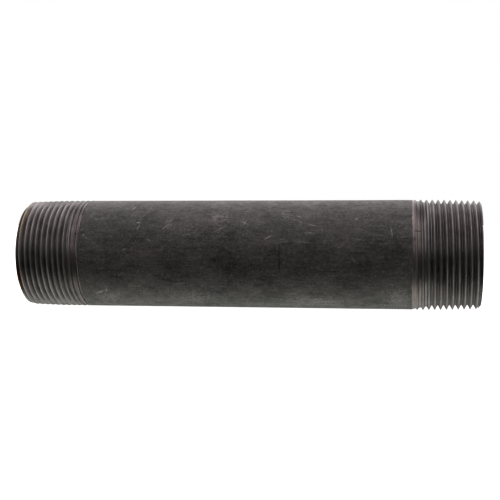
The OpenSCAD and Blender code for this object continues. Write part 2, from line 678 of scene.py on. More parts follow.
@dataclass(frozen=True)
class CutThread:
    """Die-cut steel: pale crests and runout, with the grooves painted darker as shade in their
    hollows.
    """

    name: str = "cut_steel"
    radius_mm: float = 20.5
    # The groove's colour is darker than the flank's: painted shade in the thread's hollows.
    groove: Colour = (0.228, 0.215, 0.213)
    flank: Colour = (0.278, 0.262, 0.259)
    crest: Colour = (0.265, 0.250, 0.245)
    runout: Colour = (0.224, 0.195, 0.187)
    scale: Colour = (0.060, 0.053, 0.049)
    soot: Colour = (0.016, 0.013, 0.013)
    rust: Colour = (0.20, 0.105, 0.045)
    straw: Colour = (0.27, 0.225, 0.155)
    nicks: Tuple[Mark, ...] = (
        Mark(65.3, 26.0, 4.6, 0.60, 6, 1.0),
        Mark(65.0, 60, 5.5, 0.35, 84, 0.8),
        Mark(64.2, 49, 2.4, 0.5, 65, 0.7),
        Mark(66.0, 68, 5.0, 0.3, 96, 0.7),
        Mark(63.9, 17, 1.0, 1.8, 0, 0.6),
        Mark(66.0, 62, 7.5, 28.0, 0, 0.90),
        Mark(-66.5, 64, 8.0, 28.0, 0, 0.55),
        Mark(-66.5, -45, 8.0, 22.0, 0, 0.3),
        Mark(87.0, 18, 1.8, 26.0, 0, 0.4),
        Mark(-76.0, 92, 26.0, 34.0, 0, 0.5),
        Mark(76.0, 90, 26.0, 30.0, 0, 0.34),
        Mark(-64.6, 22, 2.0, 0.5, 40, 0.7),
        Mark(-66.0, 35, 1.2, 0.4, 70, 0.6),
    )
    uncut: Tuple[Mark, ...] = (
        Mark(-63.4, 0, 1.5, 600.0, 0, 0.9),
    )
    rusted: Tuple[Mark, ...] = (
        Mark(-88.0, -24, 3.8, 15.0, 0, 1.0),
        Mark(-88.2, -40, 2.2, 7.0, 0, 0.8),
        Mark(-88.2, 152, 2.0, 14.0, 0, 0.6),
        Mark(88.4, 205, 1.8, 12.0, 0, 0.6),
    )
    strawed: Tuple[Mark, ...] = (
        Mark(-87.6, 42, 5.0, 30.0, 0, 0.8),
        Mark(88.0, 120, 4.0, 20.0, 0, 0.5),
    )
    metallic: float = 0.88
    runout_dulling: float = 0.13
    runout_gloss: float = 0.05
    raggedness: float = 0.22

    def make(self) -> bpy.types.Material:
        """Builds the finish.

        Returns:
            The material.
        """
        sheet = ShaderSheet(self.name)
        flat = sheet.unrolled(self.radius_mm)
        place = sheet.place()
        fade = sheet.mark("runout")
        tooling = sheet.grain(place, (5.5, 0.10, 0.10), detail=3.0, rough=0.6)
        torn = sheet.grain(place, (1.6, 0.55, 0.55), detail=4.0, rough=0.65)
        uneven = sheet.math("MULTIPLY", sheet.math("SUBTRACT", torn, 0.5), self.raggedness)
        edge = sheet.math("ADD", sheet.mark("rise"), uneven)
        colour = self.steel(sheet, place, edge, fade)
        colour = self.marked(sheet, flat, torn, colour)
        colour = sheet.dim(colour, sheet.band(tooling, 0.3, 0.7, 0.72, 1.25))
        grime = sheet.grain(place, (0.16, 0.16, 0.16), detail=3.0, rough=0.6)
        colour = sheet.dim(colour, sheet.band(grime, 0.4, 0.66, 1.0, 0.72))
        rough = sheet.math("SUBTRACT", sheet.band(edge, 0.5, 0.95, 0.36, 0.38),
                           sheet.math("MULTIPLY", fade, self.runout_gloss))
        metal = sheet.math("SUBTRACT", self.metallic,
                           sheet.math("MULTIPLY", fade, self.runout_dulling))
        normal = sheet.relief(tooling, depth_mm=0.04)
        normal = sheet.relief(torn, 0.05, normal)
        sheet.shade(Base_Color=colour, Roughness=rough, Normal=normal, Metallic=metal, IOR=1.5)
        return sheet.material

    def steel(self, sheet: ShaderSheet, place: Socket, edge: Socket, fade: Socket) -> Socket:
        """Colours the clean cut steel from the groove's floor to the crest, darker towards the
        floor as painted shade.

        Args:
            sheet: the finish being built.
            place: the point on the object, in millimetres.
            edge: how high the point stands in the thread, from 0 to 1.
            fade: how far the point is into the runout, from 0 to 1.

        Returns:
            The colour's socket.
        """
        # Darker towards the groove's floor: painted shade in the thread's hollows.
        colour = sheet.blend(sheet.band(edge, 0.15, 0.62), self.groove, self.flank)
        colour = sheet.blend(sheet.band(edge, 0.84, 0.99), colour, self.crest)
        rings = sheet.grain(place, (1.15, 0.03, 0.03), detail=2.0, rough=0.6)
        cone = sheet.dim(self.runout, sheet.band(rings, 0.38, 0.62, 0.62, 1.3))
        return sheet.blend(fade, colour, cone)

    def marked(self, sheet: ShaderSheet, flat: Socket, torn: Socket, clean: Socket) -> Socket:
        """Lays straw tints, rust, dark nicks and uncut scale over the clean steel.

        Args:
            sheet: the finish being built.
            flat: the unrolled wall, in millimetres.
            torn: noise that breaks the rust up.
            clean: the clean steel's colour.

        Returns:
            The colour's socket.
        """
        colour = sheet.blend(sheet.spots(flat, self.strawed, 0.1), clean, self.straw)
        rusting = sheet.math("MULTIPLY", sheet.spots(flat, self.rusted, 0.2),
                             sheet.band(torn, 0.28, 0.5))
        colour = sheet.blend(rusting, colour, self.rust)
        colour = sheet.blend(sheet.spots(flat, self.nicks, 0.3), colour, self.soot)
        return sheet.blend(sheet.spots(flat, self.uncut, 0.8), colour, self.scale)


@dataclass(frozen=True)
class TornEdge:
    """Bright raw steel on the lip that the die pushes up."""

    name: str = "torn_edge"
    bright: Colour = (0.38, 0.35, 0.335)
    dull: Colour = (0.13, 0.115, 0.11)

    def make(self) -> bpy.types.Material:
        """Builds the finish.

        Returns:
            The material.
        """
        sheet = ShaderSheet(self.name)
        place = sheet.place()
        patches = sheet.grain(place, (0.5, 0.16, 0.16), detail=4.0, rough=0.7)
        chips = sheet.grain(place, (1.5, 1.2, 1.2), detail=3.0, rough=0.7)
        colour = sheet.blend(sheet.band(patches, 0.42, 0.60), self.dull, self.bright)
        sheet.shade(Base_Color=colour, Roughness=sheet.band(chips, 0.3, 0.7, 0.32, 0.5),
                    Normal=sheet.relief(chips, 0.05), Metallic=0.75)
        return sheet.material


@dataclass(frozen=True)
class CutFace:
    """End face and bevel: sawn and turned steel with a little rust."""

    name: str = "cut_face"
    steel: Colour = (0.16, 0.150, 0.143)
    dark: Colour = (0.042, 0.038, 0.036)
    rust: Colour = (0.10, 0.042, 0.016)

    def make(self) -> bpy.types.Material:
        """Builds the finish.

        Returns:
            The material.
        """
        sheet = ShaderSheet(self.name)
        place = sheet.place()
        _, y, z = sheet.split(place)
        radius = sheet.math("SQRT", sheet.math("ADD", sheet.math("MULTIPLY", y, y),
                                               sheet.math("MULTIPLY", z, z)))
        rings = sheet.grain(sheet.join(radius, 0.0, 0.0), (4.0, 1.0, 1.0), detail=4.0)
        blotch = sheet.grain(place, (0.3, 0.3, 0.3), detail=4.0, rough=0.65)
        pits = sheet.grain(place, (1.5, 1.5, 1.5), detail=3.0, rough=0.7)
        colour = sheet.blend(sheet.band(blotch, 0.38, 0.64), self.dark, self.steel)
        colour = sheet.dim(colour, sheet.band(rings, 0.35, 0.65, 0.75, 1.25))
        rusty = sheet.math("MULTIPLY", sheet.band(pits, 0.45, 0.66),
                           sheet.band(blotch, 0.5, 0.34, 0.0, 0.8))
        colour = sheet.blend(rusty, colour, self.rust)
        normal = sheet.relief(rings, 0.05)
        normal = sheet.relief(pits, 0.04, normal)
        sheet.shade(Base_Color=colour, Roughness=sheet.band(pits, 0.3, 0.7, 0.42, 0.66),
                    Normal=normal, Metallic=0.4)
        return sheet.material


@dataclass(frozen=True)
class BoreScale:
    """Dull brown-black scale on the inside of the pipe."""

    name: str = "bore_scale"
    dark: Colour = (0.012, 0.011, 0.011)
    brown: Colour = (0.038, 0.029, 0.024)
    loose: Colour = (0.075, 0.066, 0.060)

    def make(self) -> bpy.types.Material:
        """Builds the finish.

        Returns:
            The material.
        """
        sheet = ShaderSheet(self.name)
        place = sheet.place()
        blotch = sheet.grain(place, (0.12, 0.25, 0.25), detail=4.0, rough=0.6)
        flakes = sheet.grain(place, (0.9, 1.3, 1.3), detail=4.0, rough=0.7)
        colour = sheet.blend(sheet.band(blotch, 0.36, 0.62), self.dark, self.brown)
        colour = sheet.blend(sheet.band(flakes, 0.55, 0.75, 0.0, 0.6), colour, self.loose)
        sheet.shade(Base_Color=colour, Roughness=sheet.band(flakes, 0.3, 0.7, 0.5, 0.78),
                    Normal=sheet.relief(flakes, 0.12))
        return sheet.material


@dataclass(frozen=True)
class WeldMetal:
    """Scaled weld bead with a blued edge."""

    name: str = "weld_metal"
    blue: Colour = (0.030, 0.034, 0.044)
    grey: Colour = (0.095, 0.088, 0.082)

    def make(self) -> bpy.types.Material:
        """Builds the finish.

        Returns:
            The material.
        """
        sheet = ShaderSheet(self.name)
        place = sheet.place()
        ripples = sheet.grain(place, (1.4, 0.3, 0.3), detail=2.0)
        scale = sheet.grain(place, (0.5, 1.5, 1.5), detail=4.0, rough=0.65)
        colour = sheet.blend(sheet.band(scale, 0.36, 0.66), self.blue, self.grey)
        sheet.shade(Base_Color=colour, Roughness=sheet.band(scale, 0.3, 0.7, 0.38, 0.62),
                    Normal=sheet.relief(ripples, 0.08), Metallic=0.5)
        return sheet.material


@dataclass(frozen=True)
class PaleFloor:
    """White translucent top of a light table."""

    name: str = "pale_floor"
    white: Colour = (0.86, 0.86, 0.86)
    glow: float = 1.2

    def make(self) -> bpy.types.Material:
        """Builds the finish.

        Returns:
            The material.
        """
        sheet = ShaderSheet(self.name)
        sheet.shade(Base_Color=self.white, Roughness=0.85, Specular_IOR_Level=0.2,
                    Emission_Color=self.white, Emission_Strength=self.glow)
        return sheet.material


# ------------------------------------------------------------------ mesh tools


def make_piece(name: str, points: np.ndarray, faces: Sequence[Sequence[int]],
               finishes: Sequence[bpy.types.Material]) -> bpy.types.Object:
    """Makes a mesh object from points and faces.

    Args:
        name: the piece's name.
        points: one row of x, y and z per point, in metres.
        faces: point indices of each face.
        finishes: the materials, in slot order.

    Returns:
        The object, linked to the scene.
    """
    mesh = bpy.data.meshes.new(name)
    mesh.from_pydata(points.tolist(), [], faces)
    for finish in finishes:
        mesh.materials.append(finish)
    piece = bpy.data.objects.new(name, mesh)
    bpy.context.scene.collection.objects.link(piece)
    return piece


def soften(piece: bpy.types.Object, crease_degrees: float) -> None:
    """Shades a piece smoothly and keeps its sharper edges crisp.

    Args:
        piece: the mesh object.
        crease_degrees: edges bent more than this stay sharp.
    """
    piece.data.update()
    piece.data.shade_smooth()
    piece.data.set_sharp_from_angle(angle=math.radians(crease_degrees))


def store(piece: bpy.types.Object, name: str, values: np.ndarray) -> None:
    """Stores one number for each point of a piece.

    Args:
        piece: the mesh object.
        name: the attribute's name.
        values: the numbers, in point order.
    """
    attribute = piece.data.attributes.new(name, "FLOAT", "POINT")
    attribute.data.foreach_set("value", values.astype(np.float32))


def points_of(piece: bpy.types.Object) -> np.ndarray:
    """Reads a piece's points.

    Args:
        piece: the mesh object.

    Returns:
        One row of x, y and z per point.
    """
    flat = np.empty(3 * len(piece.data.vertices), dtype=np.float32)
    piece.data.vertices.foreach_get("co", flat)
    return flat.reshape(-1, 3)


def revolve(profile: Sequence[Tuple[float, float]], segments: int) -> Tuple[np.ndarray, Faces]:
    """Turns a closed outline about the X axis.

    Args:
        profile: places along X and radii, in order round the outline.
        segments: steps in a full turn.

    Returns:
        The points, and faces that look outward from an outline given clockwise.
    """
    x, r = np.array(profile).T
    angles = np.arange(segments) * 2 * math.pi / segments
    points = np.stack([
        np.broadcast_to(x, (segments, len(x))),
        np.outer(np.cos(angles), r),
        np.outer(np.sin(angles), r),
    ], axis=-1).reshape(-1, 3)
    count = len(x)
    faces = []
    for i in range(segments):
        row, after = i * count, (i + 1) % segments * count
        for k in range(count):
            k2 = (k + 1) % count
            faces.append((row + k, row + k2, after + k2, after + k))
    return points, faces


def wobble(x: float, y: float, z: float) -> float:
    """Gives smooth noise at a place, about -1 to 1."""
    return noise.noise(Vector((x, y, z)))


def skin(rows: int, width: int, closed: bool) -> Faces:
    """Joins rows of points into a skin, where each row is a closed outline.

    Args:
        rows: how many rows there are.
        width: points in each row.
        closed: join the last row to the first, instead of capping both.

    Returns:
        The faces.
    """
    faces = []
    for i in range(rows if closed else rows - 1):
        row, after = i * width, (i + 1) % rows * width
        for k in range(width):
            k2 = (k + 1) % width
            faces.append((row + k, after + k, after + k2, row + k2))
    if not closed:
        faces.append(tuple(range(width)))
        faces.append(tuple((rows - 1) * width + k for k in reversed(range(width))))
    return faces


def face_outward(piece: bpy.types.Object) -> None:
    """Turns the faces of a closed piece so that they all look outward.

    Args:
        piece: the mesh object.
    """
    mesh = bmesh.new()
    mesh.from_mesh(piece.data)
    bmesh.ops.recalc_face_normals(mesh, faces=mesh.faces)
    mesh.to_mesh(piece.data)
    mesh.free()


# ---------------------------------------------------------------- sub-assemblies


@dataclass(frozen=True)
class PipeSizes:
    """Main sizes of the pipe, in metres."""

    pipe_radius: float
    bore_radius: float
    half_length: float
    cut_length: float
    ream: float

    @classmethod
    def from_frame(cls, record: Dict) -> "PipeSizes":
        """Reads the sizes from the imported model.

        Args:
            record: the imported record.

        Returns:
            The sizes.
        """
        dims = {mount["name"]: mount["dims"] for mount in record["mounts"]}
        low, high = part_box("right_thread")
        return cls(
            pipe_radius=dims["barrel_od"]["r_mm"] * MM,
            bore_radius=dims["bore"]["r_mm"] * MM,
            half_length=high.x,
            cut_length=high.x - low.x,
            ream=high.x - dims["bore"]["length_mm"] * MM / 2,
        )

    @property
    def joint(self) -> float:
        """Gives how far from the middle the barrel ends."""
        return self.half_length - self.cut_length


@dataclass(frozen=True)
class ThreadForm:
    """American taper pipe thread on a pipe, in metres."""

    sizes: PipeSizes
    threads_per_inch: float = 11.5
    taper: float = 0.0625
    runout_pitches: float = 3.47
    shoulder_step: float = 0.15 * MM
    bevel_length: float = 0.6 * MM
    bevel_drop: float = 1.15 * MM
    crest_rounding: float = 0.02 * MM
    flank_degrees: float = 30.0
    flank_room: float = 0.06 * MM

    @property
    def pitch(self) -> float:
        """Gives the distance from crest to crest."""
        return INCH / self.threads_per_inch

    @property
    def depth(self) -> float:
        """Gives the height of the full thread."""
        return 0.8 * self.pitch

    @property
    def flat(self) -> float:
        """Gives the width of the flat on a full crest or root."""
        return 0.038 * self.pitch

    @property
    def crest_start(self) -> float:
        """Gives the crest's radius at the end face.

        Returns:
            The radius, from the thread's own formula for its pitch diameter.
        """
        across = 2 * self.sizes.pipe_radius
        pitch_diameter = across - (0.05 * across + 1.1 * INCH) / self.threads_per_inch
        return (pitch_diameter + self.depth) / 2

    @property
    def face_radius(self) -> float:
        """Gives the largest radius of the flat end face, inside the bevel."""
        return self.crest_start - self.bevel_drop

    @property
    def bevel_slope(self) -> float:
        """Gives how much radius the bevel gains for each metre along the pipe."""
        return self.bevel_drop / self.bevel_length

    def crest_line(self, d: np.ndarray) -> np.ndarray:
        """Gives the radius of an uncut crest at a depth d behind the end face."""
        return self.crest_start + d * self.taper / 2

    def crest(self, d: np.ndarray) -> np.ndarray:
        """Gives the crest's radius, which stops at the pipe's own surface."""
        return np.minimum(self.crest_line(d), self.sizes.pipe_radius - SKIN)

    def floor(self, d: np.ndarray) -> np.ndarray:
        """Gives the radius of the groove's floor.

        Args:
            d: depth behind the end face.

        Returns:
            The root's radius, lifted by the die's throat towards the shoulder.
        """
        full = self.sizes.cut_length - self.runout_pitches * self.pitch
        root_full = self.crest_line(full) - self.depth
        shoulder = self.sizes.pipe_radius - self.shoulder_step
        slope = (shoulder - root_full) / (self.sizes.cut_length - full)
        throat = np.minimum(root_full + (d - full) * slope, shoulder)
        return np.maximum(self.crest_line(d) - self.depth, throat)

    def bends(self, turn: np.ndarray) -> List[Tuple[np.ndarray, np.ndarray]]:
        """Finds where the outline bends, from one crest over the groove to the next.

        Args:
            turn: turns from the end face, outward.

        Returns:
            Places outward of the end face, and radii, of nine bends: both ends
            and the middle of the crest, the groove's floor and the next crest.
        """
        slope = math.tan(math.radians(self.flank_degrees))
        found = []
        for half_pitches in (0, 1, 2):
            middle = (turn + half_pitches / 2) * self.pitch
            d = -middle
            over = self.crest_line(d) - self.crest(d)
            crest_width = self.flat + 2 * over * slope
            lift = self.floor(d) - self.crest_line(d) + self.depth
            widest = self.pitch - crest_width - self.flank_room
            floor_width = np.minimum(self.flat + 2 * lift * slope, widest)
            half = (floor_width if half_pitches == 1 else crest_width) / 2
            for side in (-1, 0, 1):
                z = middle + side * half
                top = self.crest(-z) - abs(side) * self.crest_rounding
                found.append((z, self.floor(-z) if half_pitches == 1 else top))
        return found

    def outline(self, turn: np.ndarray, flank_steps: int) -> Tuple[np.ndarray, np.ndarray]:
        """Gives one pitch of the thread's outline for each turn of the helix.

        Args:
            turn: turns from the end face, outward.
            flank_steps: points on each flank.

        Returns:
            Places outward of the end face, and radii, one row per turn.
        """
        bends = self.bends(turn)
        columns = []
        for start, steps in ((1, 1), (2, flank_steps), (3, 1), (4, 1), (5, flank_steps), (6, 1)):
            for step in range(steps):
                t = step / steps
                columns.append([(1 - t) * bends[start][axis] + t * bends[start + 1][axis]
                                for axis in (0, 1)])
        places, radii = np.array(columns).transpose(1, 2, 0)
        return places, radii


@dataclass
class ThreadedEnd:
    """One die-cut end of the pipe, with its bevel, face and reamed mouth."""

    end: End
    start_degrees: float
    form: ThreadForm
    segments: int = 224
    flank_steps: int = 5
    bore_rings: int = 8
    roughness: float = 0.035 * MM
    torn_above: float = 0.55
    burr_radius: float = 0.0
    burr_turn: float = -88.0
    burr_place: float = 0.55 * MM
    burr_reach: float = 0.6 * MM
    burr_spread: float = 3.0
    burr_falloff: float = 0.05
    runout_starts: float = 1.3
    runout_grows: float = 1.2
    bevel_slack: float = 0.03 * MM
    crease_degrees: float = 38.0
    piece: Optional[bpy.types.Object] = field(default=None, init=False)

    def build(self) -> None:
        """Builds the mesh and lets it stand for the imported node."""
        name = f"{self.end.name.lower()}_thread"
        points, faces = self.screw()
        finishes = [CutThread().make(), CutFace().make(), BoreScale().make()]
        self.piece = make_piece(f"{name}_metal", points, faces, finishes)
        self.trim()
        self.turn_to_place()
        self.grade()
        self.mark_bevel()
        soften(self.piece, self.crease_degrees)
        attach(self.piece, BODY)
        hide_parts(name)

    def screw(self) -> Tuple[np.ndarray, Faces]:
        """Sweeps the thread's outline along its helix, past both ends of the cut.

        Returns:
            The points and faces, with the end face at z = 0.
        """
        inner_turns = math.ceil(self.form.sizes.cut_length / self.form.pitch) + 1
        stations = self.segments * (inner_turns + 1)
        turn = np.arange(stations + self.segments + 1) / self.segments - inner_turns
        places, radii = self.form.outline(turn, self.flank_steps)
        width = places.shape[1]
        bevel = self.form.face_radius + np.maximum(-places, 0.0) * self.form.bevel_slope
        angle = math.radians(self.start_degrees) + 2 * math.pi * turn[:, None]
        radii = np.minimum(self.tear(places, radii, angle), bevel)
        radii = np.maximum(radii, self.burr(places, angle))
        points = np.stack([radii * np.cos(angle), radii * np.sin(angle), places], axis=-1)
        faces = []
        for i in range(stations):
            for k in range(width):
                after = (i, k + 1) if k + 1 < width else (i + self.segments, 0)
                a, b = i * width + k, after[0] * width + after[1]
                faces.append((a, a + width, b + width, b))
        return points.reshape(-1, 3), faces

    def burr(self, places: np.ndarray, angle: np.ndarray) -> np.ndarray:
        """Raises one small burr on the rim, where the bevelling tool left the steel.

        Args:
            places: places along the axis.
            angle: angle of each row.

        Returns:
            The least radius that the burr asks for at each point.
        """
        centre = math.radians(-90 - self.burr_turn)
        away = np.remainder(angle - centre + math.pi, 2 * math.pi) - math.pi
        along = (places + self.burr_place) / self.burr_reach
        around = away / math.radians(self.burr_spread)
        return self.burr_radius * (1 - self.burr_falloff * (along ** 2 + around ** 2))

    def tear(self, places: np.ndarray, radii: np.ndarray, angle: np.ndarray) -> np.ndarray:
        """Roughens the crests, which a die tears a little.

        Args:
            places: places along the axis.
            radii: radii of the clean form.
            angle: angle of each row.

        Returns:
            The torn radii, never above the clean ones.
        """
        rise = (radii - self.form.floor(-places)) / self.form.depth
        band = 1.0 - self.torn_above
        depth = np.clip(rise - self.torn_above, 0.0, band) / band * self.roughness
        out = radii.copy()
        for i, k in zip(*np.nonzero(depth > 0)):
            a, z = angle[i, 0], places[i, k] / MM
            grit = wobble(9 * math.cos(a), 9 * math.sin(a), 0.9 * z)
            fine = wobble(40 * math.cos(a), 40 * math.sin(a), 2.1 * z)
            out[i, k] -= depth[i, k] * max(0.0, 0.5 + 0.9 * grit + 0.5 * fine)
        return out

    def trim(self) -> None:
        """Cuts the screw to length and closes it with its face, bore and seam."""
        sizes = self.form.sizes
        mesh = bmesh.new()
        mesh.from_mesh(self.piece.data)
        loose = [v for v in mesh.verts if not v.link_faces]
        bmesh.ops.delete(mesh, geom=loose, context="VERTS")
        for place, direction in ((0.0, 1.0), (-sizes.cut_length, -1.0)):
            everything = list(mesh.verts) + list(mesh.edges) + list(mesh.faces)
            bmesh.ops.bisect_plane(mesh, geom=everything, dist=1e-7,
                                   plane_co=(0, 0, place), plane_no=(0, 0, direction),
                                   clear_outer=True)
        loop = self.rim_at(mesh, 0.0)
        bore = sizes.bore_radius
        steps = [(bore + sizes.ream, 0.0, Zone.FACE), (bore, -sizes.ream, Zone.BORE)]
        for step in range(1, self.bore_rings + 1):
            place = -sizes.ream - (sizes.cut_length - sizes.ream) * step / self.bore_rings
            steps.append((bore, place, Zone.BORE))
        for radius, place, zone in steps:
            loop = self.extend(mesh, loop, radius, place, zone)
        seam = self.rim_at(mesh, -sizes.cut_length)
        filled = bmesh.ops.triangle_fill(mesh, use_beauty=True, edges=seam)
        for face in filled["geom"]:
            if isinstance(face, bmesh.types.BMFace):
                face.material_index = Zone.BORE.value
        bmesh.ops.recalc_face_normals(mesh, faces=mesh.faces)
        mesh.to_mesh(self.piece.data)
        mesh.free()

    def rim_at(self, mesh: bmesh.types.BMesh, place: float) -> List[bmesh.types.BMEdge]:
        """Finds the open edges that lie at one place along the axis.

        Args:
            mesh: the mesh.
            place: place along the axis.

        Returns:
            The edges.
        """
        return [e for e in mesh.edges
                if e.is_boundary and all(abs(v.co.z - place) < NEAR for v in e.verts)]

    def reshape(self, verts: Sequence[bmesh.types.BMVert], radius: float, place: float) -> None:
        """Moves points onto a circle about the axis.

        Args:
            verts: the points.
            radius: the circle's radius.
            place: the circle's place along the axis.
        """
        for vert in verts:
            shrink = radius / math.hypot(vert.co.x, vert.co.y)
            vert.co = (vert.co.x * shrink, vert.co.y * shrink, place)

    def extend(self, mesh: bmesh.types.BMesh, loop: Sequence[bmesh.types.BMEdge],
               radius: float, place: float, zone: Zone) -> List[bmesh.types.BMEdge]:
        """Extrudes an open loop of edges to a new circle.

        Args:
            mesh: the mesh.
            loop: the open edges.
            radius: the new circle's radius.
            place: the new circle's place along the axis.
            zone: the zone that the new wall belongs to.

        Returns:
            The new open edges.
        """
        made = bmesh.ops.extrude_edge_only(mesh, edges=loop)["geom"]
        self.reshape([g for g in made if isinstance(g, bmesh.types.BMVert)], radius, place)
        for part in made:
            if isinstance(part, bmesh.types.BMFace):
                part.material_index = zone.value
        return [g for g in made if isinstance(g, bmesh.types.BMEdge) and g.is_boundary]

    def turn_to_place(self) -> None:
        """Turns the screw from Z to the pipe's axis and moves it to its end."""
        points = points_of(self.piece)
        side = self.end.value
        placed = np.stack([
            side * (self.form.sizes.half_length + points[:, 2]),
            points[:, 1],
            -side * points[:, 0],
        ], axis=-1)
        self.piece.data.vertices.foreach_set("co", placed.ravel())

    def grade(self) -> None:
        """Stores how high each point stands in the thread, and how far into the runout."""
        form, points = self.form, points_of(self.piece).astype(float)
        d = form.sizes.half_length - np.abs(points[:, 0])
        radius = np.hypot(points[:, 1], points[:, 2])
        rise = (radius - form.crest_line(d) + form.depth) / form.depth
        top = (form.crest(d) - form.crest_line(d) + form.depth) / form.depth
        store(self.piece, "rise", np.clip(rise / top, 0.0, 1.0))
        reach = (d - form.sizes.cut_length) / form.pitch + form.runout_pitches
        faded = (reach - self.runout_starts) / self.runout_grows
        store(self.piece, "runout", np.clip(faded, 0.0, 1.0))

    def mark_bevel(self) -> None:
        """Gives the faces that the bevelling tool cut the finish of the end face."""
        form = self.form
        bevel_end = form.sizes.half_length - form.bevel_length
        for polygon in self.piece.data.polygons:
            if polygon.material_index != Zone.THREAD.value:
                continue
            centre = polygon.center
            reach = abs(centre.x) - bevel_end
            bevel = form.crest_start - form.bevel_slope * reach
            if reach > 0 and math.hypot(centre.y, centre.z) > bevel - self.bevel_slack:
                polygon.material_index = Zone.FACE.value


@dataclass
class PipeBarrel:
    """Plain pipe between the threads."""

    sizes: PipeSizes
    segments: int = 240
    rings: int = 150
    bore_rings: int = 24
    edge_break: float = 0.05 * MM
    unevenness: float = 0.03 * MM
    lip_room: float = 0.05 * MM
    even_end: float = 2 * MM
    crease_degrees: float = 40.0
    piece: Optional[bpy.types.Object] = field(default=None, init=False)

    def build(self) -> None:
        """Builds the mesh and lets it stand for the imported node."""
        points, faces = revolve(self.outline(), self.segments)
        self.piece = make_piece("barrel_metal", points, faces,
                                [MillScale().make(), BoreScale().make()])
        self.unsettle()
        middle = (self.sizes.pipe_radius + self.sizes.bore_radius) / 2
        for polygon in self.piece.data.polygons:
            inner = math.hypot(polygon.center.y, polygon.center.z) < middle
            polygon.material_index = 1 if inner else 0
        soften(self.piece, self.crease_degrees)
        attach(self.piece, BODY)
        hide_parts("barrel")

    def outline(self) -> List[Tuple[float, float]]:
        """Gives the wall's outline, clockwise from the left end of the outside.

        Returns:
            Places along X and radii.
        """
        joint, cut = self.sizes.joint, self.edge_break
        outer = self.sizes.pipe_radius - self.lip_room
        span = np.linspace(-joint + cut, joint - cut, self.rings)
        top = [(x, outer) for x in span]
        right = [(joint, outer - cut), (joint, self.sizes.bore_radius)]
        back = np.linspace(joint, -joint, self.bore_rings)[1:-1]
        inside = [(x, self.sizes.bore_radius) for x in back]
        left = [(-joint, self.sizes.bore_radius), (-joint, outer - cut)]
        return top + right + inside + left

    def unsettle(self) -> None:
        """Gives the outside the slight waves of a rolled surface, inward only."""
        points = points_of(self.piece).astype(float)
        radius = np.hypot(points[:, 1], points[:, 2])
        for index in np.nonzero(radius > self.sizes.pipe_radius - self.lip_room - NEAR)[0]:
            x, y, z = points[index] / MM
            wave = wobble(0.06 * x, 0.10 * y, 0.10 * z)
            dent = wobble(0.35 * x, 0.35 * y, 0.35 * z)
            swing = self.unevenness * max(-1.0, min(1.0, 0.9 * wave + 0.5 * dent))
            fade = min(1.0, (self.sizes.joint - abs(points[index, 0])) / self.even_end)
            points[index, 1:] *= 1 + swing * fade / radius[index]
        self.piece.data.vertices.foreach_set("co", points.astype(np.float32).ravel())


@dataclass
class ShoulderLip:
    """Thin ragged lip of bright metal that the die leaves where its cut ends."""

    end: End
    sizes: PipeSizes
    segments: int = 420
    rows: int = 7
    inset: float = 0.0
    overlap: float = 0.06 * MM
    width: float = 0.34 * MM
    height: float = 0.09 * MM
    crease_degrees: float = 60.0
    lowest: float = 0.03 * MM
    highest: float = 0.10 * MM
    depth: float = 0.10 * MM
    piece: Optional[bpy.types.Object] = field(default=None, init=False)

    def build(self) -> None:
        """Builds the lip and lets it ride with the pipe."""
        name = f"{self.end.name.lower()}_shoulder_lip"
        faces = skin(self.segments, self.rows, closed=True)
        self.piece = make_piece(name, self.points(), faces, [TornEdge().make()])
        face_outward(self.piece)
        soften(self.piece, self.crease_degrees)
        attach(self.piece, BODY)

    def points(self) -> np.ndarray:
        """Lays the lip's points round the pipe, one row across the lip at a time.

        Returns:
            One row of x, y and z per point.
        """
        points = []
        for i in range(self.segments):
            angle = 2 * math.pi * i / self.segments
            y, z = math.cos(angle), math.sin(angle)
            drift = wobble(1.3 * y, 1.3 * z, self.end.value)
            ragged = wobble(14 * y, 14 * z, 3 * self.end.value)
            width = self.width * (1 + 0.18 * ragged + 0.12 * drift)
            height = self.height * (0.75 + 0.7 * ragged)
            height = min(max(height, self.lowest), self.highest)
            for row in range(self.rows):
                t = row / (self.rows - 1)
                x = self.sizes.joint + self.inset + self.overlap - width * t
                lift = (height + self.depth) * math.sin(math.pi * t)
                r = self.sizes.pipe_radius - SKIN - self.highest - self.depth + lift
                points.append((self.end.value * x, r * y, r * z))
        return np.array(points)


